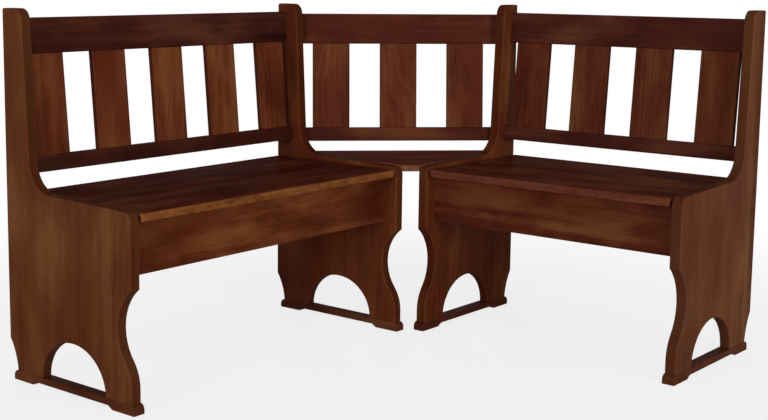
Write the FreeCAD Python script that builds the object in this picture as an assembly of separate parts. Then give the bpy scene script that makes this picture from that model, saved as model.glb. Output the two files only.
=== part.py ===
"""Corner storage bench: a long bench, a short bench and a corner seat between them.

Millimetres, +Z up. Both benches stand on the floor with their backs to the walls of a
room corner: the long one lies along X with its back at +Y, the short one lies along Y
with its back at +X. The origin is on the floor under the centre of the overall box.
Each bench is drawn in its own frame first: x runs from left to right as the sitter's
front view shows it, y is 0 at the wall and negative towards the front.
"""

import FreeCAD
import Part
import math
import os

# Layout of the three seats
LONG_BENCH_LENGTH = 974.0
SHORT_BENCH_LENGTH = 760.0
CORNER_FRONT_STEP = 30.0

# End panels: one board outline serves all four
PANEL_THICKNESS = 28.0
PANEL_DEPTH = 430.0
PANEL_HEIGHT = 877.0
PANEL_EDGE_ROUND = 3.0
POST_TOP_WIDTH = 67.0
POST_TAPER_DEG = 3.0
POST_FRONT_ROUND = 26.0
POST_REAR_ROUND = 5.0
NECK_ROUND = 70.0
SHOULDER_ABOVE_LID = 5.0
SHOULDER_SLOPE_DEG = 1.6
SHOULDER_ROUND = 21.0
SCOOP_DEPTH = 45.5
SCOOP_RADIUS = 115.0
TOE_RADIUS = 100.0
TOE_RISE = 30.7
HEEL_INSET = 27.5
HEEL_HEIGHT = 98.0
HEEL_RADIUS = 160.0
ARCH_RISE = 101.0
REAR_FOOT_WIDTH = 119.0
FRONT_FOOT_WIDTH = 88.0

# Foot runners under the end panels
RUNNER_HEIGHT = 23.0
RUNNER_OVERHANG = 2.0
RUNNER_REAR_INSET = 16.0
RUNNER_FRONT_REACH = 9.0
RUNNER_END_ROUND = 13.0
RUNNER_PAD_LENGTH = 72.0
RUNNER_RELIEF = 8.0
RUNNER_RELIEF_RAMP = 13.0
RUNNER_RELIEF_ROUND = 12.0
RUNNER_EDGE_ROUND = 2.0

# Leaning backs
BACK_TOP_DROP = 22.0
BACK_ABOVE_LID = 50.0
BACK_TOP_SETBACK = 27.0
BACK_LEAN_DEG = 5.1
TOP_RAIL_HEIGHT = 84.5
BOTTOM_RAIL_HEIGHT = 39.0
RAIL_EDGE_ROUND = 3.5
SLAT_WIDTH = 105.0
SLAT_THICKNESS = 15.0
SLAT_RECESS = 4.0
SLAT_REAR_STEP = 3.0
SLAT_EDGE_ROUND = 2.0
SLAT_TENON = 10.0
TENON_PLAY = 0.2
LONG_SLAT_COUNT = 5
SHORT_SLAT_COUNT = 4
LONG_END_GAP = 17.0
SHORT_END_GAP = 22.0

# Corner back and corner seat
CORNER_BACK_DROP = 6.0
CORNER_BACK_SETBACK = 23.0
CORNER_SLAT_COUNT = 3
CORNER_END_GAP = 24.5
CORNER_SEAT_ABOVE_LID = 9.0
CORNER_SEAT_THICKNESS = 18.0
CORNER_SEAT_ROUND = 5.0
CORNER_SEAT_PLAY = 0.5
CORNER_CLEAT_WIDTH = 18.0
CORNER_CLEAT_HEIGHT = 20.0
CORNER_CLEAT_END_GAP = 35.0
CLEAT_SCREW_LENGTH = 30.0
CLEAT_SCREW_INSET = 35.0
CLEAT_SCREW_STAGGER = 24.0

# Seat lids and the storage boxes under them
LID_TOP = 444.0
LID_THICKNESS = 20.0
LID_SIDE_GAP = 6.0
LID_REAR_INSET = 5.0
LID_TOP_ROUND = 6.0
LID_CORNER_EXTRA_ROUND = 1.0
LID_BOTTOM_ROUND = 3.0
BUMPER_HEIGHT = 1.5
BUMPER_RADIUS = 5.0
BUMPER_END_INSET = 60.0
APRON_SETBACK = 36.0
APRON_THICKNESS = 18.0
APRON_HEIGHT = 123.5
APRON_EDGE_ROUND = 2.0
BOX_BACK_THICKNESS = 18.0
BOX_BOTTOM_THICKNESS = 9.0
BOX_BOTTOM_PLAY = 1.0
BOX_CLEAT_SIZE = 15.0
BOX_CLEAT_LIFT = 2.0

# Hinges of the lids
OPEN_LID_CLEARANCE = 2.5
HINGE_LENGTH = 64.0
HINGE_LEAF_WIDTH = 26.0
HINGE_LEAF_THICKNESS = 1.6
KNUCKLE_WALL = 1.75
KNUCKLE_PLAY = 0.4
KNUCKLE_LID_GAP = 0.5
PIN_RADIUS = 1.7
PIN_PLAY = 0.05
PIN_HEAD_RIM = 0.9
PIN_HEAD_THICKNESS = 1.0
LONG_HINGE_COUNT = 3
SHORT_HINGE_COUNT = 2
HINGE_END_INSET = 90.0
LEAF_SCREW_COUNT = 3

# Dowels, brackets and screws
DOWEL_RADIUS = 4.0
DOWEL_LENGTH = 36.0
CORNER_DOWEL_LENGTH = 20.0
DOWEL_END_WALL = 3.0
TOP_DOWEL_SPACING = 44.0
BOTTOM_DOWEL_SPACING = 15.0
BRACKET_LEG = 38.0
BRACKET_WIDTH = 20.0
BRACKET_THICKNESS = 2.0
BRACKET_SCREW_PITCH = 18.0
SMALL_SCREW_LENGTH = 13.0
SCREW_SHANK_RADIUS = 1.5
SCREW_HEAD_RADIUS = 3.0
SCREW_HEAD_DEPTH = 1.3
RUNNER_SCREW_LENGTH = 45.0
RUNNER_SHANK_RADIUS = 2.2
RUNNER_HEAD_RADIUS = 4.0
RUNNER_HEAD_DEPTH = 2.2
RUNNER_SCREW_SPACING = 30.0
COUNTERBORE_DEPTH = 8.0
COUNTERBORE_PLAY = 0.5
SCREW_TIP_LENGTH = 3.0
SCREW_RECESS_DEPTH = 0.8
SCREW_RECESS_SPAN = 3.4
SCREW_RECESS_WIDTH = 0.8

# How far an edge may lie off the place where it is looked for
EDGE_MARGIN = 1.0

# Sizes and places that follow from those above
LEAN = math.radians(BACK_LEAN_DEG)
CORNER_SIDE = PANEL_DEPTH + CORNER_FRONT_STEP
HALF_DIAGONAL = CORNER_SIDE / math.sqrt(2.0)
ROOM_X = (CORNER_SIDE + LONG_BENCH_LENGTH + RUNNER_OVERHANG) / 2.0
ROOM_Y = (CORNER_SIDE + SHORT_BENCH_LENGTH + RUNNER_OVERHANG) / 2.0
SHOULDER_FRONT_HEIGHT = LID_TOP + SHOULDER_ABOVE_LID
ARCH_REAR = REAR_FOOT_WIDTH
ARCH_FRONT = PANEL_DEPTH - FRONT_FOOT_WIDTH
BACK_TOP_HEIGHT = PANEL_HEIGHT - BACK_TOP_DROP
BACK_HEIGHT = (BACK_TOP_HEIGHT - LID_TOP - BACK_ABOVE_LID) / math.cos(LEAN)
BACK_FOOT_RUN = BACK_HEIGHT * math.sin(LEAN)
BACK_FOOT_SETBACK = BACK_TOP_SETBACK + BACK_FOOT_RUN
SLAT_OPENING = BACK_HEIGHT - TOP_RAIL_HEIGHT - BOTTOM_RAIL_HEIGHT
RAIL_THICKNESS = SLAT_RECESS + SLAT_THICKNESS + SLAT_REAR_STEP
DOWEL_PANEL_DEPTH = (PANEL_THICKNESS - DOWEL_END_WALL) / 2.0
CORNER_SEAT_TOP = LID_TOP + CORNER_SEAT_ABOVE_LID
CORNER_SEAT_BOTTOM = CORNER_SEAT_TOP - CORNER_SEAT_THICKNESS
LID_BOTTOM = LID_TOP - LID_THICKNESS
KNUCKLE_RADIUS = PIN_RADIUS + PIN_PLAY + KNUCKLE_WALL
HINGE_AXIS_OFFSET = KNUCKLE_RADIUS + KNUCKLE_LID_GAP
HINGE_HEIGHT = LID_BOTTOM - HINGE_AXIS_OFFSET
HINGE_SETBACK = BACK_FOOT_SETBACK + OPEN_LID_CLEARANCE + LID_TOP - HINGE_HEIGHT
BOX_TOP = LID_BOTTOM - BUMPER_HEIGHT
APRON_BOTTOM = BOX_TOP - APRON_HEIGHT
BOX_CLEAT_BOTTOM = APRON_BOTTOM + BOX_CLEAT_LIFT
BOX_CLEAT_TOP = BOX_CLEAT_BOTTOM + BOX_CLEAT_SIZE
BOX_FLOOR = BOX_CLEAT_TOP + BOX_BOTTOM_THICKNESS
BRACKET_CENTRE_HEIGHT = (BOX_FLOOR + BOX_TOP) / 2.0
BOX_REAR = HINGE_SETBACK + HINGE_AXIS_OFFSET
BOX_INNER_REAR = BOX_REAR + BOX_BACK_THICKNESS
APRON_FRONT = PANEL_DEPTH - APRON_SETBACK
APRON_REAR = APRON_FRONT - APRON_THICKNESS

V = FreeCAD.Vector
X_AXIS = V(1, 0, 0)
Y_AXIS = V(0, 1, 0)
Z_AXIS = V(0, 0, 1)


# Placing and shaping helpers
def place(x, y, z, axis=Z_AXIS, degrees=0.0):
    return FreeCAD.Placement(V(x, y, z), FreeCAD.Rotation(axis, degrees))


def aim(point, direction):
    """The place at a point where +Z is turned into a direction."""
    return FreeCAD.Placement(point, FreeCAD.Rotation(Z_AXIS, direction))


def put(shape, placement):
    copy = shape.copy()
    copy.Placement = placement.multiply(copy.Placement)
    return copy


def box(x, y, z):
    """A board between the two values of each pair."""
    low = V(min(x), min(y), min(z))
    return Part.makeBox(max(x) - min(x), max(y) - min(y), max(z) - min(z), low)


def rod(radius, length, start, direction):
    return Part.makeCylinder(radius, length, start, direction)


def rounded(shape, radius, wanted):
    """Rounds every edge whose bounding box passes the test."""
    return shape.makeFillet(radius, [edge for edge in shape.Edges if wanted(edge.BoundBox)])


def spread(first, last, count):
    step = (last - first) / (count - 1)
    return [first + i * step for i in range(count)]


def sink(pieces, names, spots, blank, fastener):
    """Cuts a blank into the named pieces at every spot and returns the fasteners."""
    holes = Part.makeCompound([put(blank, spot) for spot in spots])
    for name in names:
        pieces[name] = [solid.cut(holes) for solid in pieces[name]]
    return [put(fastener, spot) for spot in spots]


# Side outlines in depth and height, where depth counts forwards from the wall
def at_depth(depth, height):
    return V(0, -depth, height)


def outline(corners):
    """Edges through (depth, height, radius) corners, with each radius as an arc."""
    spots = [at_depth(depth, height) for depth, height, radius in corners]
    radii = [corner[2] for corner in corners]
    edges = []
    pen = spots[0]
    for before, spot, after, radius in zip(spots, spots[1:], spots[2:], radii[1:]):
        if radius == 0:
            edges.append(Part.makeLine(pen, spot))
            pen = spot
            continue
        back = (before - spot).normalize()
        ahead = (after - spot).normalize()
        half_angle = back.getAngle(ahead) / 2.0
        reach = radius / math.tan(half_angle)
        middle = (back + ahead).normalize() * (radius / math.sin(half_angle) - radius)
        edges.append(Part.makeLine(pen, spot + back * reach))
        pen = spot + ahead * reach
        edges.append(Part.Arc(spot + back * reach, spot + middle, pen).toShape())
    edges.append(Part.makeLine(pen, spots[-1]))
    return edges


def arc_about(depth, height, radius, start_deg, end_deg):
    """An arc about a centre, with its angles counted from straight forwards."""
    spots = []
    for angle in (start_deg, (start_deg + end_deg) / 2.0, end_deg):
        turn = math.radians(angle)
        spots.append(at_depth(depth + radius * math.cos(turn), height + radius * math.sin(turn)))
    return Part.Arc(*spots).toShape()


def extruded(edges, start, end):
    face = Part.Face(Part.Wire(edges))
    return put(face.extrude(V(end - start, 0, 0)), place(start, 0, 0))


# End panel
def neck_corner():
    """Where the front of the post would meet the shoulder without the round."""
    post = math.tan(math.radians(POST_TAPER_DEG))
    shoulder = math.tan(math.radians(SHOULDER_SLOPE_DEG))
    run = PANEL_DEPTH - POST_TOP_WIDTH - post * PANEL_HEIGHT
    height = (SHOULDER_FRONT_HEIGHT + shoulder * run) / (1.0 - shoulder * post)
    return POST_TOP_WIDTH + post * (PANEL_HEIGHT - height), height


def front_curves():
    """The scoop in the front edge and the toe that swings out again under it."""
    scoop_centre = PANEL_DEPTH - SCOOP_DEPTH + SCOOP_RADIUS
    toe_centre = PANEL_DEPTH - TOE_RADIUS
    run = scoop_centre - toe_centre
    climb = math.sqrt((SCOOP_RADIUS + TOE_RADIUS) ** 2 - run ** 2)
    toe_height = RUNNER_HEIGHT + TOE_RISE
    scoop_height = toe_height + climb
    meet = math.degrees(math.atan2(climb, run))
    start = 180.0 - math.degrees(math.acos((scoop_centre - PANEL_DEPTH) / SCOOP_RADIUS))
    scoop = arc_about(scoop_centre, scoop_height, SCOOP_RADIUS, start, 180.0 + meet)
    toe = arc_about(toe_centre, toe_height, TOE_RADIUS, meet, 0.0)
    scoop_top = scoop_height + SCOOP_RADIUS * math.sin(math.radians(start))
    return scoop_top, [scoop, toe], toe_height


def arch_curve():
    """The half ellipse over the runner, between the two feet of the panel."""
    middle = (ARCH_FRONT + ARCH_REAR) / 2.0
    centre = at_depth(middle, RUNNER_HEIGHT)
    foot = at_depth(ARCH_FRONT, RUNNER_HEIGHT)
    top = at_depth(middle, RUNNER_HEIGHT + ARCH_RISE)
    quarter = math.pi / 2.0
    if ARCH_RISE > ARCH_FRONT - middle:
        return Part.ArcOfEllipse(Part.Ellipse(top, foot, centre), -quarter, quarter).toShape()
    return Part.ArcOfEllipse(Part.Ellipse(foot, top, centre), 0.0, math.pi).toShape()


def heel_curve():
    """The shallow hollow between the runner and the straight back edge."""
    foot = at_depth(HEEL_INSET, RUNNER_HEIGHT)
    top = at_depth(0.0, HEEL_HEIGHT)
    chord = top - foot
    sagitta = HEEL_RADIUS - math.sqrt(HEEL_RADIUS ** 2 - (chord.Length / 2.0) ** 2)
    inward = V(0, -chord.z, chord.y).normalize()
    return Part.Arc(foot, (foot + top) * 0.5 + inward * sagitta, top).toShape()


def end_panel():
    neck_depth, neck_height = neck_corner()
    scoop_top, curves, toe_height = front_curves()
    edges = outline([
        (0.0, HEEL_HEIGHT, 0.0),
        (0.0, PANEL_HEIGHT, POST_REAR_ROUND),
        (POST_TOP_WIDTH, PANEL_HEIGHT, POST_FRONT_ROUND),
        (neck_depth, neck_height, NECK_ROUND),
        (PANEL_DEPTH, SHOULDER_FRONT_HEIGHT, SHOULDER_ROUND),
        (PANEL_DEPTH, scoop_top, 0.0),
    ])
    edges += curves
    edges += outline([
        (PANEL_DEPTH, toe_height, 0.0),
        (PANEL_DEPTH, RUNNER_HEIGHT, 0.0),
        (ARCH_FRONT, RUNNER_HEIGHT, 0.0),
    ])
    edges.append(arch_curve())
    edges += outline([(ARCH_REAR, RUNNER_HEIGHT, 0.0), (HEEL_INSET, RUNNER_HEIGHT, 0.0)])
    edges.append(heel_curve())
    board = extruded(edges, 0.0, PANEL_THICKNESS)
    above_runner = RUNNER_HEIGHT + EDGE_MARGIN
    return rounded(
        board,
        PANEL_EDGE_ROUND,
        lambda b: b.XLength < EDGE_MARGIN and b.ZMax > above_runner,
    )


def foot_runner():
    rear = RUNNER_REAR_INSET
    front = PANEL_DEPTH + RUNNER_FRONT_REACH
    rear_pad = rear + RUNNER_PAD_LENGTH
    front_pad = front - RUNNER_PAD_LENGTH
    edges = outline([
        (rear_pad, 0.0, 0.0),
        (rear, 0.0, 0.0),
        (rear, RUNNER_HEIGHT, RUNNER_END_ROUND),
        (front, RUNNER_HEIGHT, RUNNER_END_ROUND),
        (front, 0.0, 0.0),
        (front_pad, 0.0, 0.0),
        (front_pad - RUNNER_RELIEF_RAMP, RUNNER_RELIEF, RUNNER_RELIEF_ROUND),
        (rear_pad + RUNNER_RELIEF_RAMP, RUNNER_RELIEF, RUNNER_RELIEF_ROUND),
        (rear_pad, 0.0, 0.0),
    ])
    bar = extruded(edges, -RUNNER_OVERHANG, PANEL_THICKNESS + RUNNER_OVERHANG)
    above_relief = RUNNER_RELIEF + EDGE_MARGIN
    return rounded(
        bar,
        RUNNER_EDGE_ROUND,
        lambda b: b.XLength < EDGE_MARGIN and b.ZMax > above_relief,
    )


# Backs: drawn upright with the front face at y = 0 and the top at z = 0, then leant
def leant(setback, top):
    return place(0, -setback, top, X_AXIS, -BACK_LEAN_DEG)


def rail(x, top, bottom):
    bar = box(x, (0.0, RAIL_THICKNESS), (top, bottom))
    return rounded(bar, RAIL_EDGE_ROUND, lambda b: b.XLength > EDGE_MARGIN)


def slat(left, play):
    """A slat with its tenons, or the mortises for it when there is play."""
    across = (left - play, left + SLAT_WIDTH + play)
    through = (SLAT_RECESS - play, SLAT_RECESS + SLAT_THICKNESS + play)
    top = SLAT_TENON + play - TOP_RAIL_HEIGHT
    bottom = -TOP_RAIL_HEIGHT - SLAT_OPENING - SLAT_TENON - play
    return box(across, through, (top, bottom))


def back_pieces(prefix, x, lefts):
    """Two rails with mortises, and the slats between them."""
    mortises = Part.makeCompound([slat(left, TENON_PLAY) for left in lefts])
    upper = rail(x, 0.0, -TOP_RAIL_HEIGHT)
    lower = rail(x, -TOP_RAIL_HEIGHT - SLAT_OPENING, -BACK_HEIGHT)
    pieces = {
        prefix + "_top_rail": [upper.cut(mortises)],
        prefix + "_bottom_rail": [lower.cut(mortises)],
    }
    for number, left in enumerate(lefts, start=1):
        board = rounded(slat(left, 0.0), SLAT_EDGE_ROUND, lambda b: b.ZLength > EDGE_MARGIN)
        pieces["%s_slat_%d" % (prefix, number)] = [board]
    return pieces


def dowel_heights():
    """Two dowels in each rail, in the wood that the tenons leave."""
    top_middle = (SLAT_TENON - TOP_RAIL_HEIGHT) / 2.0
    bottom_middle = (BOTTOM_RAIL_HEIGHT - SLAT_TENON) / 2.0 - BACK_HEIGHT
    heights = []
    for middle, spacing in ((top_middle, TOP_DOWEL_SPACING), (bottom_middle, BOTTOM_DOWEL_SPACING)):
        heights += [middle + spacing / 2.0, middle - spacing / 2.0]
    return heights


def bench_back(prefix, length, lefts):
    pieces = back_pieces(prefix, (PANEL_THICKNESS, length - PANEL_THICKNESS), lefts)
    lean = leant(BACK_TOP_SETBACK, BACK_TOP_HEIGHT)
    return {name: [put(solid, lean) for solid in solids] for name, solids in pieces.items()}


# Screws: drawn along +Z with the face of the head at z = 0
def turned_screw(length, shank_radius, head_radius, head_depth):
    profile = Part.makePolygon([
        V(0, 0, 0),
        V(head_radius, 0, 0),
        V(shank_radius, 0, head_depth),
        V(shank_radius, 0, length - SCREW_TIP_LENGTH),
        V(0, 0, length),
        V(0, 0, 0),
    ])
    return Part.Face(profile).revolve(V(0, 0, 0), Z_AXIS, 360)


def with_cross(screw):
    """Cuts the cross for the driver into the head."""
    span = (-SCREW_RECESS_SPAN / 2.0, SCREW_RECESS_SPAN / 2.0)
    width = (-SCREW_RECESS_WIDTH / 2.0, SCREW_RECESS_WIDTH / 2.0)
    depth = (-SCREW_RECESS_DEPTH, SCREW_RECESS_DEPTH)
    return screw.cut(box(span, width, depth).fuse(box(width, span, depth)))


# Hinge: the axis lies along x through the origin, and the lid is closed above it
def hinge_leaf(knuckles):
    """The lid's leaf with knuckles over the given spans of its length."""
    plate = (HINGE_AXIS_OFFSET - HINGE_LEAF_THICKNESS, HINGE_AXIS_OFFSET)
    clear = KNUCKLE_RADIUS + KNUCKLE_PLAY
    half = HINGE_LENGTH / 2.0
    leaf = box((-half, half), (clear, clear + HINGE_LEAF_WIDTH), plate)
    for start, end in knuckles:
        leaf = leaf.fuse(box((start, end), (0.0, clear), plate))
        leaf = leaf.fuse(rod(KNUCKLE_RADIUS, end - start, V(start, 0, 0), X_AXIS))
    hole = rod(PIN_RADIUS + PIN_PLAY, HINGE_LENGTH, V(-half, 0, 0), X_AXIS)
    return leaf.removeSplitter().cut(hole)


def knuckle_spans():
    half = HINGE_LENGTH / 2.0
    middle = HINGE_LENGTH / 6.0
    play = KNUCKLE_PLAY / 2.0
    box_spans = [(-half, -middle - play), (middle + play, half)]
    return box_spans, [(play - middle, middle - play)]


def hinge_pin():
    half = HINGE_LENGTH / 2.0
    pin = rod(PIN_RADIUS, HINGE_LENGTH, V(-half, 0, 0), X_AXIS)
    for end, outward in ((V(-half, 0, 0), -X_AXIS), (V(half, 0, 0), X_AXIS)):
        pin = pin.fuse(rod(PIN_RADIUS + PIN_HEAD_RIM, PIN_HEAD_THICKNESS, end, outward))
    return pin.removeSplitter()


def leaf_screw_spots(middles, on_lid):
    """Screws go up into the lid, or forwards into the back of the box."""
    inset = HINGE_LENGTH / (2.0 * LEAF_SCREW_COUNT)
    across = spread(inset - HINGE_LENGTH / 2.0, HINGE_LENGTH / 2.0 - inset, LEAF_SCREW_COUNT)
    along = KNUCKLE_RADIUS + KNUCKLE_PLAY + HINGE_LEAF_WIDTH / 2.0
    face = HINGE_AXIS_OFFSET - HINGE_LEAF_THICKNESS
    spots = []
    for x in [middle + offset for middle in middles for offset in across]:
        if on_lid:
            spots.append(aim(V(x, along - HINGE_SETBACK, HINGE_HEIGHT + face), Z_AXIS))
        else:
            spots.append(aim(V(x, -face - HINGE_SETBACK, HINGE_HEIGHT - along), -Y_AXIS))
    return spots


# Storage box and lid
def storage_box(prefix, length):
    across = (PANEL_THICKNESS, length - PANEL_THICKNESS)
    height = (APRON_BOTTOM, BOX_TOP)
    apron = box(across, (-APRON_FRONT, -APRON_REAR), height)
    front = EDGE_MARGIN - APRON_FRONT
    apron = rounded(
        apron,
        APRON_EDGE_ROUND,
        lambda b: b.XLength > EDGE_MARGIN and b.YMax < front,
    )
    cleat_height = (BOX_CLEAT_BOTTOM, BOX_CLEAT_TOP)
    bottom_height = (BOX_CLEAT_TOP, BOX_FLOOR)
    inner = (-APRON_REAR, -BOX_INNER_REAR)
    play = BOX_BOTTOM_PLAY
    return {
        prefix + "_apron": [apron],
        prefix + "_box_back": [box(across, (-BOX_INNER_REAR, -BOX_REAR), height)],
        prefix + "_box_bottom": [
            box((across[0] + play, across[1] - play), (inner[0] + play, inner[1] - play), bottom_height)
        ],
        prefix + "_bottom_cleats": [
            box(across, (inner[0], inner[0] + BOX_CLEAT_SIZE), cleat_height),
            box(across, (inner[1] - BOX_CLEAT_SIZE, inner[1]), cleat_height),
        ],
    }


def seat_lid(length):
    left = PANEL_THICKNESS + LID_SIDE_GAP
    board = box((left, length - left), (-PANEL_DEPTH, -LID_REAR_INSET), (LID_BOTTOM, LID_TOP))
    corner_round = LID_TOP_ROUND + LID_CORNER_EXTRA_ROUND
    front = EDGE_MARGIN - PANEL_DEPTH
    board = rounded(board, corner_round, lambda b: b.ZLength > EDGE_MARGIN and b.YMax < front)
    board = rounded(board, LID_TOP_ROUND, lambda b: b.ZMin > LID_TOP - EDGE_MARGIN)
    return rounded(board, LID_BOTTOM_ROUND, lambda b: b.ZMax < LID_BOTTOM + EDGE_MARGIN)


def angle_bracket():
    height = (-BRACKET_WIDTH / 2.0, BRACKET_WIDTH / 2.0)
    along_x = box((0.0, BRACKET_LEG), (0.0, BRACKET_THICKNESS), height)
    along_y = box((0.0, BRACKET_THICKNESS), (0.0, BRACKET_LEG), height)
    return along_x.fuse(along_y).removeSplitter()


def bracket_screw_spots():
    middle = (BRACKET_LEG + BRACKET_THICKNESS) / 2.0
    half = BRACKET_SCREW_PITCH / 2.0
    spots = []
    for along in (middle - half, middle + half):
        spots.append(aim(V(along, BRACKET_THICKNESS, 0), -Y_AXIS))
        spots.append(aim(V(BRACKET_THICKNESS, along, 0), -X_AXIS))
    return spots


def box_corners(length):
    """The four inner corners of the box, each turned so that its legs lie inside."""
    left = PANEL_THICKNESS
    right = length - PANEL_THICKNESS
    corners = ((left, APRON_REAR), (right, APRON_REAR), (right, BOX_INNER_REAR), (left, BOX_INNER_REAR))
    return [
        place(x, -depth, BRACKET_CENTRE_HEIGHT, Z_AXIS, 90.0 * turn)
        for turn, (x, depth) in enumerate(corners)
    ]


# A whole bench in its own frame, as lists of solids by node name
def bench(prefix, ends, length, lefts, hinge_count):
    panel_names = ["%s_%s_panel" % (prefix, end) for end in ends]
    runner_names = ["%s_%s_runner" % (prefix, end) for end in ends]
    pieces = bench_back(prefix, length, lefts)
    pieces.update(storage_box(prefix, length))
    for x, panel_name, runner_name in zip((0.0, length - PANEL_THICKNESS), panel_names, runner_names):
        pieces[panel_name] = [put(panel, place(x, 0, 0))]
        pieces[runner_name] = [put(runner, place(x, 0, 0))]
    join_back(pieces, prefix, panel_names, length)
    join_runners(pieces, panel_names, runner_names, length)
    join_box(pieces, prefix, panel_names, length)
    hang_lid(pieces, prefix, length, hinge_count)
    return pieces


def join_back(pieces, prefix, panel_names, length):
    lean = leant(BACK_TOP_SETBACK, BACK_TOP_HEIGHT)
    spots = []
    for height in dowel_heights():
        for x, inward in ((PANEL_THICKNESS, X_AXIS), (length - PANEL_THICKNESS, -X_AXIS)):
            spots.append(lean.multiply(aim(V(x, RAIL_THICKNESS / 2.0, height), inward)))
    names = panel_names + [prefix + "_top_rail", prefix + "_bottom_rail"]
    pieces["rail_dowels"] = sink(pieces, names, spots, long_dowel, long_dowel)


def join_runners(pieces, panel_names, runner_names, length):
    rear = RUNNER_REAR_INSET + RUNNER_PAD_LENGTH / 2.0
    front = PANEL_DEPTH + RUNNER_FRONT_REACH - RUNNER_PAD_LENGTH / 2.0
    half = RUNNER_SCREW_SPACING / 2.0
    spots = []
    for x in (PANEL_THICKNESS / 2.0, length - PANEL_THICKNESS / 2.0):
        for depth in (rear - half, rear + half, front - half, front + half):
            spots.append(place(x, -depth, COUNTERBORE_DEPTH))
    bore_radius = RUNNER_HEAD_RADIUS + COUNTERBORE_PLAY
    bore = rod(bore_radius, COUNTERBORE_DEPTH, V(0, 0, -COUNTERBORE_DEPTH), Z_AXIS)
    names = panel_names + runner_names
    pieces["runner_screws"] = sink(
        pieces, names, spots, runner_screw.fuse(bore), with_cross(runner_screw)
    )


def join_box(pieces, prefix, panel_names, length):
    corners = box_corners(length)
    pieces[prefix + "_box_brackets"] = [put(angle_bracket(), corner) for corner in corners]
    spots = [corner.multiply(spot) for corner in corners for spot in bracket_screw_spots()]
    names = panel_names + [prefix + "_apron", prefix + "_box_back", prefix + "_box_brackets"]
    pieces["bracket_screws"] = sink(pieces, names, spots, small_screw, with_cross(small_screw))
    inset = PANEL_THICKNESS + BUMPER_END_INSET
    middle = (APRON_FRONT + APRON_REAR) / 2.0
    pieces["lid_bumpers"] = [
        rod(BUMPER_RADIUS, BUMPER_HEIGHT, V(x, -middle, BOX_TOP), Z_AXIS)
        for x in (inset, length - inset)
    ]


def hang_lid(pieces, prefix, length, hinge_count):
    inset = PANEL_THICKNESS + HINGE_END_INSET
    middles = spread(inset, length - inset, hinge_count)
    box_spans, lid_spans = knuckle_spans()
    lid_leaf = hinge_leaf(lid_spans)
    box_leaf = hinge_leaf(box_spans).mirror(V(0, 0, 0), V(0, 1, 1))
    on_axis = [place(x, -HINGE_SETBACK, HINGE_HEIGHT) for x in middles]
    pieces[prefix + "_seat_lid"] = [seat_lid(length)]
    pieces[prefix + "_hinge_lid_leaves"] = [put(lid_leaf, spot) for spot in on_axis]
    pieces[prefix + "_hinge_box_leaves"] = [put(box_leaf, spot) for spot in on_axis]
    pieces[prefix + "_hinge_pins"] = [put(hinge_pin(), spot) for spot in on_axis]
    pieces[prefix + "_lid_hinge_screws"] = sink(
        pieces,
        [prefix + "_seat_lid", prefix + "_hinge_lid_leaves"],
        leaf_screw_spots(middles, True),
        small_screw,
        with_cross(small_screw),
    )
    pieces["box_hinge_screws"] = sink(
        pieces,
        [prefix + "_box_back", prefix + "_hinge_box_leaves"],
        leaf_screw_spots(middles, False),
        small_screw,
        with_cross(small_screw),
    )


# Corner back: its own frame has y = 0 on the line between the panels' back edges
def corner_back():
    """Rails cut to the wedge between the two inner panels, and their slats."""
    half = HALF_DIAGONAL - CORNER_BACK_SETBACK - BACK_FOOT_RUN - CORNER_END_GAP
    lefts = spread(-half, half - SLAT_WIDTH, CORNER_SLAT_COUNT)
    pieces = back_pieces("corner", (-HALF_DIAGONAL, HALF_DIAGONAL), lefts)
    lean = leant(CORNER_BACK_SETBACK, BACK_TOP_HEIGHT - CORNER_BACK_DROP)
    pieces = {name: [put(solid, lean) for solid in solids] for name, solids in pieces.items()}
    plan = [V(-HALF_DIAGONAL, 0, 0), V(HALF_DIAGONAL, 0, 0), V(0, -HALF_DIAGONAL, 0)]
    wedge = Part.Face(Part.makePolygon(plan + plan[:1])).extrude(V(0, 0, PANEL_HEIGHT))
    for name in ("corner_top_rail", "corner_bottom_rail"):
        pieces[name] = [solid.common(wedge) for solid in pieces[name]]
    return pieces


def corner_dowel_spots():
    """On the panels' faces, square to them, at the middle of the leaning rails."""
    lean = leant(CORNER_BACK_SETBACK, BACK_TOP_HEIGHT - CORNER_BACK_DROP)
    spots = []
    for height in dowel_heights():
        middle = lean.multVec(V(0, RAIL_THICKNESS / 2.0, height))
        for side in (-1, 1):
            point = V(side * (HALF_DIAGONAL + middle.y), middle.y, middle.z)
            spots.append(aim(point, V(-side, 1, 0)))
    return spots


# Corner seat: drawn from the corner of the room
def corner_seat():
    face = CORNER_SEAT_PLAY - CORNER_SIDE
    plan = [
        V(face, -PANEL_DEPTH, CORNER_SEAT_BOTTOM),
        V(face, -CORNER_SEAT_PLAY, CORNER_SEAT_BOTTOM),
        V(-CORNER_SEAT_PLAY, face, CORNER_SEAT_BOTTOM),
        V(-PANEL_DEPTH, face, CORNER_SEAT_BOTTOM),
    ]
    board = Part.Face(Part.makePolygon(plan + plan[:1])).extrude(V(0, 0, CORNER_SEAT_THICKNESS))
    front = EDGE_MARGIN - PANEL_DEPTH
    return rounded(
        board,
        CORNER_SEAT_ROUND,
        lambda b: b.ZLength < EDGE_MARGIN and b.XMax < front and b.YMax < front,
    )


def corner_cleats():
    near = (-CORNER_SIDE, CORNER_CLEAT_WIDTH - CORNER_SIDE)
    along = (CORNER_CLEAT_END_GAP - PANEL_DEPTH, -CORNER_CLEAT_END_GAP)
    height = (CORNER_SEAT_BOTTOM - CORNER_CLEAT_HEIGHT, CORNER_SEAT_BOTTOM)
    return [box(near, along, height), box(along, near, height)]


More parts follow.
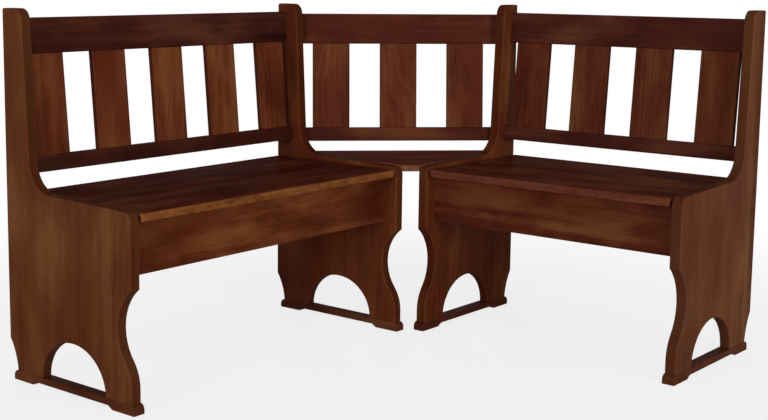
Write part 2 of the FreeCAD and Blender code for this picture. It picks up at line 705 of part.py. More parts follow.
def cleat_screw_spots():
    """Screws through the cleats: sideways into the panels and up into the seat."""
    bottom = CORNER_SEAT_BOTTOM - CORNER_CLEAT_HEIGHT
    face = CORNER_CLEAT_WIDTH - CORNER_SIDE
    middle = CORNER_CLEAT_WIDTH / 2.0 - CORNER_SIDE
    height = bottom + CORNER_CLEAT_HEIGHT / 2.0
    rear = CORNER_CLEAT_END_GAP + CLEAT_SCREW_INSET
    front = PANEL_DEPTH - rear
    spots = []
    for depth, up in ((rear, rear + CLEAT_SCREW_STAGGER), (front, front - CLEAT_SCREW_STAGGER)):
        spots.append(aim(V(face, -depth, height), -X_AXIS))
        spots.append(aim(V(-depth, face, height), -Y_AXIS))
        spots.append(place(middle, -up, bottom))
        spots.append(place(-up, middle, bottom))
    return spots


# Prototypes that both benches share
panel = end_panel()
runner = foot_runner()
long_dowel = rod(DOWEL_RADIUS, DOWEL_LENGTH, V(0, 0, -DOWEL_PANEL_DEPTH), Z_AXIS)
corner_dowel = rod(DOWEL_RADIUS, CORNER_DOWEL_LENGTH, V(0, 0, -DOWEL_PANEL_DEPTH), Z_AXIS)
small_screw = turned_screw(
    SMALL_SCREW_LENGTH, SCREW_SHANK_RADIUS, SCREW_HEAD_RADIUS, SCREW_HEAD_DEPTH
)
cleat_screw = turned_screw(
    CLEAT_SCREW_LENGTH, SCREW_SHANK_RADIUS, SCREW_HEAD_RADIUS, SCREW_HEAD_DEPTH
)
runner_screw = turned_screw(
    RUNNER_SCREW_LENGTH, RUNNER_SHANK_RADIUS, RUNNER_HEAD_RADIUS, RUNNER_HEAD_DEPTH
)

# The whole set, with both benches moved to their walls
nodes = {}


def settle(pieces, placement):
    for name, solids in pieces.items():
        nodes.setdefault(name, []).extend(put(solid, placement) for solid in solids)


def slat_lefts(length, end_gap, count):
    first = PANEL_THICKNESS + end_gap
    return spread(first, length - first - SLAT_WIDTH, count)


long_lefts = slat_lefts(LONG_BENCH_LENGTH, LONG_END_GAP, LONG_SLAT_COUNT)
short_lefts = slat_lefts(SHORT_BENCH_LENGTH, SHORT_END_GAP, SHORT_SLAT_COUNT)
long_bench = bench("long", ("outer", "inner"), LONG_BENCH_LENGTH, long_lefts, LONG_HINGE_COUNT)
short_bench = bench("short", ("inner", "outer"), SHORT_BENCH_LENGTH, short_lefts, SHORT_HINGE_COUNT)
room = place(ROOM_X, ROOM_Y, 0)
diagonal = room.multiply(place(-CORNER_SIDE / 2.0, -CORNER_SIDE / 2.0, 0, Z_AXIS, -45.0))
settle(long_bench, room.multiply(place(-CORNER_SIDE - LONG_BENCH_LENGTH, 0, 0)))
settle(short_bench, room.multiply(place(0, -CORNER_SIDE, 0, Z_AXIS, -90.0)))
settle(corner_back(), diagonal)
settle({"corner_seat": [corner_seat()], "corner_seat_cleats": corner_cleats()}, room)

inner_panels = ["long_inner_panel", "short_inner_panel"]
nodes["rail_dowels"] += sink(
    nodes,
    inner_panels + ["corner_top_rail", "corner_bottom_rail"],
    [diagonal.multiply(spot) for spot in corner_dowel_spots()],
    corner_dowel,
    corner_dowel,
)
nodes["corner_seat_screws"] = sink(
    nodes,
    inner_panels + ["corner_seat", "corner_seat_cleats"],
    [room.multiply(spot) for spot in cleat_screw_spots()],
    cleat_screw,
    with_cross(cleat_screw),
)

os.makedirs("parts", exist_ok=True)
for name, pieces in nodes.items():
    solids = [solid for piece in pieces for solid in piece.Solids]
    shape = solids[0] if len(solids) == 1 else Part.makeCompound(solids)
    shape.exportStep("parts/%s.step" % name)
    print(name, len(solids), "solid(s), volume %.1f cm3" % (shape.Volume / 1000.0))
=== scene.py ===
# %% [markdown]
# # A corner storage bench
# Two wooden benches meet at a corner seat. The shapes come from the drawn model, so this
# lesson is about what makes them look like stained wood: grain that follows each board,
# blotches where the stain soaked in, dark edges that are partly painted shade, rubbed
# corners that carry a painted highlight and a thin, dull varnish.

import math

import bmesh
import bpy
from mathutils import Matrix, Vector

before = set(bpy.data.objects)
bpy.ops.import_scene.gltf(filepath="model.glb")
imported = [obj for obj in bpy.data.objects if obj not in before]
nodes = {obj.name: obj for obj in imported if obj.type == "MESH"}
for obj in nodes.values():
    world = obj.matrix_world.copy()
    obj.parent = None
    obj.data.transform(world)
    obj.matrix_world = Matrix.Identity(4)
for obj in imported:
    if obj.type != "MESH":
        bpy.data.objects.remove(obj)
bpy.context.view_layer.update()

# %% [markdown]
# ## The camera
# The place and lens were found by matching corners of the real bench with corners of the
# model. The picture is a crop, so the lens centre isn't in the middle of it, and the
# camera's shift makes up for that. The camera also leans by under half a degree.

# %% Set up the camera
PICTURE_WIDTH = 768
PICTURE_HEIGHT = 420
SENSOR_WIDTH = 36.0
FOCAL_PIXELS = 1334.2
LENS_CENTRE = (317.8, 161.9)
EYE = Vector((-2.5936, -1.9464, 0.9554))
HEADING, TILT, ROLL = (math.radians(angle) for angle in (40.424, -7.943, 0.417))

level = math.cos(TILT)
forward = Vector((math.cos(HEADING) * level, math.sin(HEADING) * level, math.sin(TILT)))
level_right = Vector((math.sin(HEADING), -math.cos(HEADING), 0.0))
level_up = level_right.cross(forward)
right = level_right * math.cos(ROLL) + level_up * math.sin(ROLL)
up = level_up * math.cos(ROLL) - level_right * math.sin(ROLL)

lens = bpy.data.cameras.new("camera")
lens.sensor_width = SENSOR_WIDTH
lens.lens = FOCAL_PIXELS * SENSOR_WIDTH / PICTURE_WIDTH
lens.shift_x = (PICTURE_WIDTH / 2 - LENS_CENTRE[0]) / PICTURE_WIDTH
lens.shift_y = (LENS_CENTRE[1] - PICTURE_HEIGHT / 2) / PICTURE_WIDTH
camera = bpy.data.objects.new("camera", lens)
turn = Matrix((right, up, -forward)).transposed()
camera.matrix_world = Matrix.Translation(EYE) @ turn.to_4x4()
bpy.context.collection.objects.link(camera)
bpy.context.scene.camera = camera
print("camera", tuple(round(x, 3) for x in EYE), "lens %.1f mm" % lens.lens)

# %% [markdown]
# ## Writing shaders as sums
# A material is a net of nodes. Wiring it by hand hides the idea, so a small class stands
# for one output socket and turns Python sums into Math nodes. Every other kind of node
# comes from one method, which takes the node's settings first and its inputs after.


# %% A socket that can be used in sums
class Signal:
    """One output socket of a node tree."""

    def __init__(self, tree, socket=None):
        self.tree = tree
        self.socket = socket

    def node(self, kind, settings=None, inputs=None, output=0):
        """Adds a node: settings are set first, then values or links by socket."""
        made = self.tree.nodes.new(kind)
        for key, value in (settings or {}).items():
            if key == "stops":
                self._set_stops(made.color_ramp, value)
            else:
                setattr(made, key, value)
        for key, value in (inputs or {}).items():
            if isinstance(value, Signal):
                self.tree.links.new(value.socket, made.inputs[key])
            else:
                made.inputs[key].default_value = value
        return Signal(self.tree, made.outputs[output]) if len(made.outputs) else made

    @staticmethod
    def _set_stops(ramp, stops):
        while len(ramp.elements) < len(stops):
            ramp.elements.new(0.5)
        for element, (place, colour) in zip(ramp.elements, stops):
            element.position = place
            element.color = (*colour, 1.0)

    def math(self, operation, *others, clamp=False):
        settings = {"operation": operation, "use_clamp": clamp}
        return self.node("ShaderNodeMath", settings, dict(enumerate((self, *others))))

    def __add__(self, other):
        return self.math("ADD", other)

    def __mul__(self, other):
        return self.math("MULTIPLY", other)

    def __sub__(self, other):
        return self.math("SUBTRACT", other)

    def __rsub__(self, other):
        return self.node("ShaderNodeMath", {"operation": "SUBTRACT"}, {0: other, 1: self})

    def __truediv__(self, other):
        return self.math("DIVIDE", other)

    __radd__ = __add__
    __rmul__ = __mul__

    def step(self, start, end):
        """Rises smoothly from 0 at start to 1 at end."""
        settings = {"interpolation_type": "SMOOTHSTEP"}
        values = {0: self, 1: start, 2: end, 3: 0.0, 4: 1.0}
        return self.node("ShaderNodeMapRange", settings, values)

    def dot(self, axis):
        settings = {"operation": "DOT_PRODUCT"}
        return self.node("ShaderNodeVectorMath", settings, {0: self, 1: axis}, "Value")


print("a socket can now be added, subtracted, multiplied and divided")

# %% [markdown]
# ## Colours
# Stain is judged against a picture, so the tones are written as a screen shows
# them, from 0 to 255, and turned into the straight scale in which light adds up. Two
# colours are mixed by a Mix node, because a Math node would make them grey.


# %% Tones and mixtures
CURVE_START = 0.04045
CURVE_SLOPE = 12.92
CURVE_LIFT = 0.055
CURVE_POWER = 2.4


def shade(red, green, blue):
    """A colour as a screen shows it, 0 to 255, in the light's own scale."""
    scaled = (channel / 255 for channel in (red, green, blue))
    return tuple(
        c / CURVE_SLOPE if c < CURVE_START else ((c + CURVE_LIFT) / (1 + CURVE_LIFT)) ** CURVE_POWER
        for c in scaled
    )


def scaled_colour(colour, red, green, blue):
    """A colour with each channel multiplied, ready for a colour socket."""
    return (colour[0] * red, colour[1] * green, colour[2] * blue, 1.0)


def blend(factor, first, second):
    """A colour between two colours."""
    values = {0: factor, 6: first, 7: second}
    return factor.node("ShaderNodeMix", {"data_type": "RGBA"}, values, 2)


def new_material(name):
    """An empty material, and the start of its signals."""
    material = bpy.data.materials.new(name)
    material.use_nodes = True
    material.node_tree.nodes.clear()
    return material, Signal(material.node_tree)


print("a brown stain in light's own scale", [round(c, 3) for c in shade(92, 52, 31)])

# %% [markdown]
# ## Grain that follows each board
# Every board is sawn lengthwise, so its grain runs along it: up in the end panels and
# slats, and lengthwise in rails, seats and aprons. One picture of grain laid over all of
# it would run the wrong way on half of the boards. Here each board gets its own three
# directions instead, along the grain, across it and through the thickness, and the
# pattern is worked out inside the solid wood, so that it meets properly at the edges.

# %% The three directions of each board
LEAN = math.radians(5.1)
X, Y, Z = Vector((1, 0, 0)), Vector((0, 1, 0)), Vector((0, 0, 1))
SIDEWAYS = {"long": X, "short": Y, "corner": (X - Y).normalized()}
TO_WALL = {"long": Y, "short": X, "corner": (X + Y).normalized()}
DIRECTIONS = ("along", "across", "through")


def board_axes(name):
    """Along the grain, across it and through the board, for a node of the model."""
    seat = name.split("_")[0]
    side, wall = SIDEWAYS[seat], TO_WALL[seat]
    lean_up = Z * math.cos(LEAN) + wall * math.sin(LEAN)
    lean_through = wall * math.cos(LEAN) - Z * math.sin(LEAN)
    if name.endswith("_panel"):
        return Z, wall, side
    if name.endswith("_runner"):
        return wall, Z, side
    if name.endswith("_rail"):
        return side, lean_up, lean_through
    if "_slat_" in name:
        return lean_up, side, lean_through
    if name.endswith(("_apron", "_box_back")):
        return side, Z, wall
    return side, wall, Z


def board_point(start, axes):
    """The place inside the board, and which way the surface there faces."""
    place = start.node("ShaderNodeTexCoord", output="Object")
    facing = start.node("ShaderNodeTexCoord", output="Normal")
    point = dict(zip(DIRECTIONS, (place.dot(axis) for axis in axes)))
    faces = dict(zip(DIRECTIONS, (facing.dot(axis).math("ABSOLUTE") for axis in axes)))
    return point, faces


print("the corner's top rail runs along", [round(c, 2) for c in board_axes("corner_top_rail")[0]])

# %% [markdown]
# ## Marks in the wood
# Fine fibres run along the board with short pores among them, wider bands follow the
# growth, and stain soaks in unevenly in soft blotches. Each of these is noise that is
# stretched a lot along the board, so one helper makes them all, and a table says how
# often each repeats in a metre.

# %% Stretched noise
NOISE_ROUGHNESS = 0.55
# Repeats per metre along, across and through the board, the noise's detail and own seed
MARKS = {
    "sway": (2.2, 6.0, 6.0, 2.0, 3.0),
    "bands": (0.9, 62.0, 30.0, 2.0, 0.0),
    "fibres": (7.0, 420.0, 420.0, 2.0, 5.0),
    "blotches": (4.0, 11.0, 11.0, 3.0, 9.0),
    "pores": (55.0, 1500.0, 1500.0, 0.0, 12.0),
    "wear_and_light_noise": (9.0, 40.0, 40.0, 3.0, 20.0),
    "redness": (2.5, 9.0, 9.0, 2.0, 31.0),
    "patches": (3.0, 8.0, 8.0, 2.0, 40.0),
    "spots": (45.0, 90.0, 90.0, 3.0, 50.0),
}
# Where a mark starts and where it is full, for marks that are cut out of their noise
CUTS = {
    "pores": (0.62, 0.74),
    "wear_and_light_noise": (0.3, 0.66),
    "redness": (0.35, 0.68),
    "patches": (0.4, 0.65),
    "spots": (0.3, 0.7),
}


def streaks(point, repeats, detail, seed):
    """Noise that is stretched by different amounts in the three directions."""
    stretched = {i: point[key] * repeats[i] for i, key in enumerate(DIRECTIONS)}
    spot = point["along"].node("ShaderNodeCombineXYZ", None, stretched)
    values = {
        "Vector": spot,
        "W": seed,
        "Scale": 1.0,
        "Detail": detail,
        "Roughness": NOISE_ROUGHNESS,
    }
    return spot.node("ShaderNodeTexNoise", {"noise_dimensions": "4D"}, values)


def mark(name, point, seed):
    """One of the marks in the table, on the board with this seed."""
    *repeats, detail, own_seed = MARKS[name]
    noise = streaks(point, repeats, detail, seed + own_seed)
    return noise.step(*CUTS[name]) if name in CUTS else noise


print(len(MARKS), "kinds of marks, the finest every %.1f mm" % (1000 / MARKS["pores"][1]))

# %% [markdown]
# ## Growth rings
# A board is cut out of a trunk, so its growth rings are rings round a heart that lies
# somewhere outside it. Where the cut runs nearly along a ring, the ring shows as a wide
# arch, and towards the sides of the board as close lines. The trunk gets thinner
# upwards and sways a little, and that is what turns straight lines into arches.

# %% Rings round a heart outside the board
RING_WIDTH = 0.0045
HEART_DEPTH = 0.07
TRUNK_TAPER = 0.022
TRUNK_SWAY = 0.03
LATE_WOOD = (0.15, 0.85)
RING_END = (0.9, 1.0)


def growth_rings(point, heart, seed):
    """0 in the soft early wood of a ring, up to 1 in its hard late wood."""
    sway = mark("sway", point, seed) - 0.5
    across = point["across"] + heart
    through = point["through"] + HEART_DEPTH
    radius = (across * across + through * through).math("SQRT")
    radius = radius + sway * TRUNK_SWAY + point["along"] * TRUNK_TAPER
    ring = (radius / RING_WIDTH).math("FRACT")
    return ring.step(*LATE_WOOD) * (1 - ring.step(*RING_END))


print("a ring every %.1f mm" % (RING_WIDTH * 1000))

# %% [markdown]
# ## Stains and staves
# A stain is written as the tones it gives to dark, common and light wood, and the tone of
# its rounded corners: lighter on panels and seats, where hands have worn the stain and a
# painted highlight falls, and darker on rails and slats as painted shade. Panels and seats
# are glued up from staves, each with its own tone and rings, and a hair-thin line shows
# where it meets the next.

# %% A stain on one kind of board
# How far narrow faces go dark: stain on the end grain, painted shade on the sides and fronts.
EDGE_STAIN_AND_SHADE = 0.45


class Stain:
    """One stain on one kind of board, in tones as a screen shows them."""

    def __init__(self, dark, middle, light, wear_and_painted_light, **more):
        self.tones = [shade(*tone) for tone in (dark, middle, light)]
        # The corner tone: wear with a painted highlight on panels and seats, painted shade on rails
        # and slats.
        self.wear_and_painted_light = shade(*wear_and_painted_light)
        self.contrast = more.get("contrast", 1.0)
        # edges: how far narrow faces go dark, partly stain and partly painted shade.
        self.edges = more.get("edges", EDGE_STAIN_AND_SHADE)
        self.nose = more.get("nose", 0.0)
        self.staves = more.get("staves")
        self.varnish = more.get("varnish", 1.0)


print("a stain has", ", ".join(vars(Stain((0, 0, 0), (0, 0, 0), (0, 0, 0), (0, 0, 0)))))

# %% The staves of a wide board
STAVE_LINE = 0.0009
STAVE_HEARTS = 0.16
FIRST_HEART = 0.01
SINGLE_HEARTS = 0.03


def stave_tone(point, stain, seed):
    """The own tone of each stave from -0.5 to 0.5, and 1 on the lines between them."""
    width, offset = stain.staves
    row = (point["across"] + offset) / width
    number = row.math("FLOOR") + seed
    own = number.node("ShaderNodeTexWhiteNoise", {"noise_dimensions": "1D"}, {"W": number})
    line = (row.math("FRACT") - 0.5).math("ABSOLUTE").step(0.5 - STAVE_LINE / width, 0.5)
    return own - 0.5, line


def heart_of(stain, own, seed):
    """How far sideways the heart of the trunk lies, for each stave or the whole board."""
    return own * STAVE_HEARTS + FIRST_HEART if stain.staves else SINGLE_HEARTS * math.sin(seed)


print("staves are parted by lines of %.1f mm" % (STAVE_LINE * 1000))

# %% [markdown]
# ## The colour of stained wood
# Blotches and bands decide how much stain the wood took, rings and fibres add a little,
# and that one number picks a colour between the stain's tones. Some areas turn redder.
# Pores and the lines between staves drink more stain and go dark. All narrow faces go
# dark too: the end grain by stain, and the sides and fronts of the boards, such as the
# fronts of the end panels and the sides of the slats, as painted shade.

# %% Stain that soaks in unevenly
BLOTCH_SHARE, BAND_SHARE, FIBRE_SHARE = 1.25, 0.45, 0.2
RING_SHARE, MEAN_RING = 0.09, 0.4
STAVE_SHARE = 0.14
TONE_STOPS = (0.25, 0.5, 0.75)
REDDER = (0.84, 0.64, 0.72)
REDNESS_SHARE = 0.5
DARKER = (0.5, 0.5, 0.5)
PORE_SHARE = 0.4
LINE_SHARE = 0.35
EDGE_TURN = (0.35, 0.9)


def stained_tone(marks, rings, own, contrast):
    """How light the stained wood is, round 0.5."""
    tone = (marks["blotches"] - 0.5) * BLOTCH_SHARE
    tone = tone + (marks["bands"] - 0.5) * BAND_SHARE
    tone = tone + (marks["fibres"] - 0.5) * FIBRE_SHARE
    tone = tone - (rings - MEAN_RING) * RING_SHARE
    if own:
        tone = tone + own * STAVE_SHARE
    return tone * contrast + 0.5


def stained_colour(stain, marks, tone, faces, line):
    """The colour before the corner tone goes on; narrow faces are darkened as stain and painted
    shade.
    """
    stops = list(zip(TONE_STOPS, stain.tones))
    colour = tone.node("ShaderNodeValToRGB", {"stops": stops}, {0: tone})
    redder = scaled_colour(stain.tones[1], *REDDER)
    colour = blend(marks["redness"] * REDNESS_SHARE, colour, redder)
    dark = scaled_colour(stain.tones[0], *DARKER)
    colour = blend(marks["pores"] * PORE_SHARE, colour, dark)
    if line:
        colour = blend(line * LINE_SHARE, colour, dark)
    # Narrow faces go dark: stain on the end grain, painted shade on the sides and fronts.
    edge = (1 - faces["through"]).step(*EDGE_TURN)
    return blend(edge * stain.edges, colour, dark)


print("an edge takes %.0f percent of the dark tone" % (100 * EDGE_STAIN_AND_SHADE))

# %% [markdown]
# ## Rubbed corners and painted highlights
# Hands and legs rub the stain off rounded corners, most of all off the long front edge
# of a seat, which is nearly bare wood in blotches. The light tone there is also a painted
# highlight where rounded edges catch the lamps, and on rails and slats the corner tone is
# a darker, painted shade. A rounded corner is found by the way it faces: neither flat on
# the board's face nor square to it.

# %% Where the stain is rubbed off, and where highlight and shade are painted on corners
CORNER_TURN = (0.1, 0.8)
CORNER_BASE, CORNER_NOISE = 0.1, 0.35
NOSE_TURN = (0.3, 0.8)
NOSE_BASE, NOSE_NOISE, NOSE_SPOTS = 0.2, 0.35, 0.45


def wear_and_painted_light_share(stain, point, faces, seed):
    """How much of the corner tone goes on, from 0 to 1: wear with a painted highlight on panels and
    seats, painted shade on rails and slats.
    """
    flat = faces["through"]
    wear_and_light_noise = mark("wear_and_light_noise", point, seed)
    # Rounded corners take wear and painted light.
    corner = (flat * (1 - flat) * 4).step(*CORNER_TURN)
    wear_and_painted_light = corner * (CORNER_BASE + wear_and_light_noise * CORNER_NOISE)
    # Seat noses: worn in spots, and a painted highlight on the front edge.
    if stain.nose:
        spots = mark("spots", point, seed)
        nose = NOSE_BASE + wear_and_light_noise * NOSE_NOISE + spots * NOSE_SPOTS
        nose = faces["across"].step(*NOSE_TURN) * nose
        wear_and_painted_light = wear_and_painted_light.math("MAXIMUM", nose * stain.nose)
    return wear_and_painted_light


print("a seat's nose is rubbed by up to %.0f percent" % (100 * (NOSE_BASE + NOSE_NOISE + NOSE_SPOTS)))

# %% [markdown]
# ## The surface
# The varnish is thin, dull and patchy, and leaves the pores open, so the wood hardly
# reflects the white room. The wood's own gloss is therefore left out, and a very thin
# coat does the rest. Pores and the lines between staves lie lower than the fibres.

# %% One board's material
WOOD_ROUGHNESS = 0.55
FIBRE_ROUGHNESS, PORE_ROUGHNESS, RUBBED_POLISH = 0.2, 0.12, 0.08
COAT_BASE, COAT_PATCHES, COAT_PORES = 0.025, 0.035, 0.02
COAT_ROUGHNESS = 0.3
RING_HEIGHT, FIBRE_HEIGHT, PORE_HEIGHT, LINE_HEIGHT = 0.25, 0.5, 0.6, 0.8
RELIEF_STRENGTH = 0.2
WOOD_RELIEF = 0.0006
SURFACE_MARKS = ("blotches", "bands", "fibres", "redness", "pores", "patches")


def wood_relief(marks, rings, line):
    """The fine relief of fibres, pores and glue lines."""
    height = rings * RING_HEIGHT + marks["fibres"] * FIBRE_HEIGHT - marks["pores"] * PORE_HEIGHT
    if line:
        height = height - line * LINE_HEIGHT
    values = {"Strength": RELIEF_STRENGTH, "Distance": WOOD_RELIEF, "Height": height}
    return height.node("ShaderNodeBump", None, values)


def stained_wood(name, stain, axes, seed):
    """One board's material: the same stain on its own piece of wood."""
    material, start = new_material(name)
    point, faces = board_point(start, axes)
    own, line = stave_tone(point, stain, seed) if stain.staves else (None, None)
    rings = growth_rings(point, heart_of(stain, own, seed), seed)
    marks = {key: mark(key, point, seed) for key in SURFACE_MARKS}
    tone = stained_tone(marks, rings, own, stain.contrast)
    colour = stained_colour(stain, marks, tone, faces, line)
    # Rounded corners and seat noses take the corner tone: wear and painted highlight, and on rails
    # and slats painted shade.
    wear_and_painted_light = wear_and_painted_light_share(stain, point, faces, seed)
    roughness = WOOD_ROUGHNESS + (marks["fibres"] - 0.5) * FIBRE_ROUGHNESS
    coat = COAT_BASE + marks["patches"] * COAT_PATCHES - marks["pores"] * COAT_PORES
    values = {
        "Base Color": blend(wear_and_painted_light, colour, (*stain.wear_and_painted_light, 1.0)),
        "Roughness": roughness + marks["pores"] * PORE_ROUGHNESS - wear_and_painted_light * RUBBED_POLISH,
        "Normal": wood_relief(marks, rings, line),
        "Specular IOR Level": 0.0,
        "Coat Weight": coat * stain.varnish,
        "Coat Roughness": COAT_ROUGHNESS,
    }
    surface = start.node("ShaderNodeBsdfPrincipled", None, values)
    start.node("ShaderNodeOutputMaterial", None, {"Surface": surface})
    return material


print("stained wood ready, with a coat of %.3f to %.3f" % (COAT_BASE, COAT_BASE + COAT_PATCHES))

# %% [markdown]
# ## The stains of this bench
# The end panels are the lightest, a warm golden brown. Slats and aprons are redder, and
# rails and seats are the darkest. Some of these tones are painted light: the seats are
# darker partly as painted shade on the tops, and the short outer panel and the short
# bench's rails are lighter copies of their stains as painted light. The boards that nobody
# sees got one thin coat. A stain belongs to every board whose name has the words before
# it, and the first match counts.

# %% Which stain goes on which board
PANEL = {"staves": (0.112, 0.095)}
SEAT = {"staves": (0.142, 0.06), "edges": 0.35, "varnish": 0.5}
# Slats get the darkest narrow faces, as painted shade on their sides.
SLAT = {"contrast": 1.1, "edges": 0.7}
RAIL = {"contrast": 1.1}
THIN_COAT = Stain((78, 42, 26), (100, 60, 38), (122, 80, 54), (128, 86, 60), edges=0.2)
PANEL_STAINS = {
    # A lighter copy of the outer panels' stain, as painted light on the short bench's outer panel.
    "short_outer_panel": Stain(
        (86, 42, 24), (103, 61, 37), (120, 78, 48), (104, 64, 42), **PANEL
    ),
    "outer_panel": Stain((80, 37, 18), (96, 53, 28), (114, 71, 39), (98, 56, 34), **PANEL),
    "inner_panel": Stain((70, 31, 16), (95, 45, 23), (114, 64, 33), (98, 52, 31), **PANEL),
    "_runner": Stain((66, 28, 16), (84, 42, 24), (102, 60, 36), (96, 54, 36), edges=0.2),
}
# Rails and slats have corner tones darker than their middles: painted shade along the rounded edges.
BACK_STAINS = {
    "corner_top_rail": Stain((62, 26, 17), (88, 42, 27), (108, 60, 36), (60, 26, 18), **RAIL),
    "corner_bottom_rail": Stain((56, 23, 16), (80, 37, 25), (104, 56, 36), (60, 26, 18), **RAIL),
    # The short bench's rails are lighter copies of the rails' stain, as painted light.
    "short_top_rail": Stain((56, 23, 17), (78, 37, 27), (100, 56, 38), (60, 26, 20), **RAIL),
    "short_bottom_rail": Stain((52, 21, 15), (74, 34, 25), (96, 53, 36), (56, 24, 19), **RAIL),
    "_rail": Stain((46, 18, 13), (67, 31, 23), (92, 50, 33), (52, 22, 17), **RAIL),
    "long_slat_": Stain((80, 34, 19), (106, 53, 30), (126, 75, 40), (84, 41, 26), **SLAT),
    "_slat_": Stain((72, 30, 18), (95, 47, 29), (116, 69, 39), (78, 38, 25), **SLAT),
}
# The seats' dark middle tones are partly painted shade on the tops.
SEAT_STAINS = {
    # The seats' light corner tones are worn wood and a painted highlight on the noses.
    "long_seat_lid": Stain(
        (58, 22, 15), (82, 35, 23), (106, 56, 36), (150, 94, 46), contrast=1.2, nose=0.8, **SEAT
    ),
    "short_seat_lid": Stain(
        (64, 25, 15), (92, 43, 27), (114, 64, 40), (122, 70, 50), contrast=1.2, nose=0.6, **SEAT
    ),
    "corner_seat": Stain(
        (64, 25, 16), (100, 47, 30), (120, 66, 42), (140, 90, 68), contrast=1.1, nose=0.9, **SEAT
    ),
    "long_apron": Stain((64, 24, 13), (94, 45, 23), (124, 74, 38), (86, 42, 26), contrast=1.3),
    "short_apron": Stain((56, 21, 13), (84, 38, 22), (112, 66, 36), (80, 38, 24), contrast=1.4),
    "_box_back": THIN_COAT,
    "_cleats": THIN_COAT,
}
STAINS = {**PANEL_STAINS, **BACK_STAINS, **SEAT_STAINS}
print(len(STAINS), "stains mixed")

# %% Stain every board
BOARD_SEED = 17.0


def stain_of(name):
    """The first stain whose words are in the node's name, or none if it isn't stained."""
    return next((stain for words, stain in STAINS.items() if words in name), None)


def paint(name, material):
    """Gives a node of the model one material on the whole of it."""
    piece = nodes[name]
    if not piece.material_slots:
        piece.data.materials.append(material)
    for slot in piece.material_slots:
        slot.material = material


boards = [name for name in sorted(nodes) if stain_of(name)]
for number, name in enumerate(boards):
    wood = stained_wood(name + "_wood", stain_of(name), board_axes(name), BOARD_SEED * number)
    paint(name, wood)
print(len(boards), "boards stained")

# %% [markdown]
# ## Plywood, dowels, steel and rubber
# The box bottoms are bare plywood, pale on the face with thin dark and light layers at
# the edges. Dowels are plain beech. Hinges, brackets and screws are steel with a dull
# zinc coat, cloudy and finely scratched. The bumpers are matte rubber. All of them are a
# cloudy colour between two tones, so one helper with a table does for all five.

# %% A cloudy surface
CLOUD_DETAIL, CLOUD_SEED, CLOUD_SHARE = 3.0, 1.0, 0.7
FINE_DETAIL, FINE_SEED, FINE_SHARE = 1.0, 7.0, 0.3
FINER = 3
CLOUD_STOPS = (0.3, 0.7)
LAYER_EDGE, LAYER_SHARE = (0.4, 0.5), 0.4
FINE_ROUGHNESS = 0.2


def layered(start, point, thickness):
    """Light and dark layers that show only on the edges of a sheet."""
    layer = (point["through"] / thickness).math("FRACT").step(*LAYER_EDGE)
    facing = start.node("ShaderNodeTexCoord", output="Normal").dot(Z).math("ABSOLUTE")
    return layer * (1 - facing) * LAYER_SHARE


def cloudy_surface(name, tones, repeats, roughness, relief, layers=None, sockets=None):
    """A cloudy colour between two tones, with fine scratches or fibres on it."""
    material, start = new_material(name)
    place = start.node("ShaderNodeTexCoord", output="Object")
    point = dict(zip(DIRECTIONS, (place.dot(axis) for axis in (X, Y, Z))))
    cloud = streaks(point, repeats, CLOUD_DETAIL, CLOUD_SEED)
    fine = streaks(point, [FINER * count for count in repeats], FINE_DETAIL, FINE_SEED)
    tone = cloud * CLOUD_SHARE + fine * FINE_SHARE
    if layers:
        tone = tone + layered(start, point, layers)
    stops = list(zip(CLOUD_STOPS, (shade(*colour) for colour in tones)))
    bump = {"Strength": RELIEF_STRENGTH, "Distance": relief, "Height": fine}
    values = {
        "Base Color": tone.node("ShaderNodeValToRGB", {"stops": stops}, {0: tone}),
        "Normal": fine.node("ShaderNodeBump", None, bump),
        "Roughness": (fine - 0.5) * FINE_ROUGHNESS + roughness,
        **(sockets or {}),
    }
    surface = start.node("ShaderNodeBsdfPrincipled", None, values)
    start.node("ShaderNodeOutputMaterial", None, {"Surface": surface})
    return material


print("fine scratches repeat %d times as often as the clouds" % FINER)

# %% Finish every small piece
METAL = {"Metallic": 1.0}
PLY_LAYER = 0.003
plywood = cloudy_surface(
    "plywood", [(168, 136, 98), (206, 176, 134)], (4, 60, 60), 0.6, 0.0004, layers=PLY_LAYER
)
beech = cloudy_surface("beech", [(176, 138, 98), (206, 170, 128)], (60, 60, 60), 0.6, 0.0003)
zinc = cloudy_surface(
    "zinc", [(150, 146, 132), (196, 192, 180)], (90, 90, 90), 0.36, 0.0001, sockets=METAL
)
screw_zinc = cloudy_surface(
    "screw_zinc", [(158, 148, 118), (202, 192, 160)], (200, 200, 200), 0.34, 0.0001, sockets=METAL
)
rubber = cloudy_surface("rubber", [(34, 32, 30), (52, 49, 46)], (300, 300, 300), 0.75, 0.0002)


def small_finish(name):
    """The finish of a node that isn't a stained board."""
    if name.endswith("_box_bottom"):
        return plywood
    if name == "rail_dowels":
        return beech
    if name.endswith(("screws", "pins")):
        return screw_zinc
    return rubber if name == "lid_bumpers" else zinc


small = [name for name in sorted(nodes) if name not in boards]
for name in small:
    paint(name, small_finish(name))
print(len(small), "small pieces finished")

# %% [markdown]
# ## A white studio
# The bench was photographed against pure white. A white floor that is only lit would
# turn grey away from the lamps, so what the camera sees of it is part light and part
# plain white, more of the latter further out. The shadow near the feet still shows. The
# same trick in the world makes the rest white without adding light to the wood.

# %% A round floor
FLOOR_RADIUS = 60.0
FLOOR_CORNERS = 96
FLOOR_DROP = 0.0005
FLOOR_PAINT = 0.9
WHITE_NEAR = 0.8
WHITE_FROM, WHITE_FULL = 1.0, 2.6
WHITE = (1.0, 1.0, 1.0, 1.0)


def seen_directly(start):
    """1 for rays that see the background directly, in a mirror or through glass."""
    camera_ray, glossy_ray, glass_ray = (
        start.node("ShaderNodeLightPath", output="Is %s Ray" % kind)
        for kind in ("Camera", "Glossy", "Transmission")
    )
    return (camera_ray + glossy_ray).math("ADD", glass_ray, clamp=True)


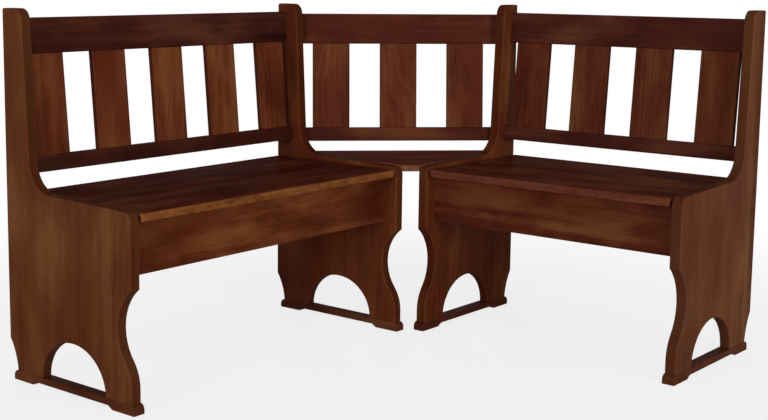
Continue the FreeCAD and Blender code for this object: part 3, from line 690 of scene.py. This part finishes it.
def floor_paint():
    """White paint that turns into plain white away from the bench."""
    material, start = new_material("studio_white")
    place = start.node("ShaderNodeNewGeometry", output="Position")
    away = place.node("ShaderNodeVectorMath", {"operation": "LENGTH"}, {0: place}, "Value")
    lit_colour = (FLOOR_PAINT, FLOOR_PAINT, FLOOR_PAINT, 1.0)
    paper = start.node("ShaderNodeBsdfDiffuse", None, {"Color": lit_colour})
    glow = start.node("ShaderNodeEmission", None, {"Color": WHITE, "Strength": 1.0})
    whiter = away.step(WHITE_FROM, WHITE_FULL) * (1.0 - WHITE_NEAR)
    share = seen_directly(start) * (WHITE_NEAR + whiter)
    seen = start.node("ShaderNodeMixShader", None, {0: share, 1: paper, 2: glow})
    start.node("ShaderNodeOutputMaterial", None, {"Surface": seen})
    return material


shape = bmesh.new()
bmesh.ops.create_circle(shape, cap_ends=True, radius=FLOOR_RADIUS, segments=FLOOR_CORNERS)
disc = bpy.data.meshes.new("floor")
shape.to_mesh(disc)
shape.free()
floor = bpy.data.objects.new("floor", disc)
floor.location.z = -FLOOR_DROP
bpy.context.collection.objects.link(floor)
floor.data.materials.append(floor_paint())
print("a floor %.0f m across" % (2 * FLOOR_RADIUS))

# %% The white world
AMBIENT = 0.25

world = bpy.data.worlds.new("studio")
world.use_nodes = True
world.node_tree.nodes.clear()
sky = Signal(world.node_tree)
strength = AMBIENT + seen_directly(sky) * (1.0 - AMBIENT)
light = sky.node("ShaderNodeBackground", None, {"Color": WHITE, "Strength": strength})
sky.node("ShaderNodeOutputWorld", None, {"Surface": light})
bpy.context.scene.world = world
print("the world lights at %.2f and looks white" % AMBIENT)

# %% [markdown]
# ## Soft boxes
# Both outer panels are bright in the photograph, the inner panels behind them are dark,
# and the seats are darker than the fronts. So the light comes low from both sides, where
# each outer panel shades the inner one, and from far away, so that the backs get nearly
# as much of it as the fronts. A third box behind the room corner only lifts the backs
# from behind. It would show as haze in the seats' varnish, so it isn't mirrored there.

# %% Three lamps
LIT_POINT = Vector((0.0, 0.0, 0.5))
BOX_SIZE = 3.6
FRONT_POWER = 355.0
BACK_POWER = 260.0


def soft_box(name, place, power):
    """A round lamp that shines at the middle of the bench."""
    lamp = bpy.data.lights.new(name, "AREA")
    lamp.shape = "DISK"
    lamp.size = BOX_SIZE
    lamp.energy = power
    holder = bpy.data.objects.new(name, lamp)
    holder.location = place
    holder.rotation_euler = (LIT_POINT - Vector(place)).to_track_quat("-Z", "Y").to_euler()
    bpy.context.collection.objects.link(holder)
    return holder


soft_box("left_box", (-9.2, -1.6, 2.1), FRONT_POWER)
soft_box("right_box", (-1.6, -9.2, 2.1), FRONT_POWER)
back_box = soft_box("back_box", (6.0, 6.0, 1.5), BACK_POWER)
back_box.visible_glossy = False
bpy.context.scene.view_settings.view_transform = "Standard"
print("three soft boxes of %.1f m" % BOX_SIZE)

# %% [markdown]
# ## Finish
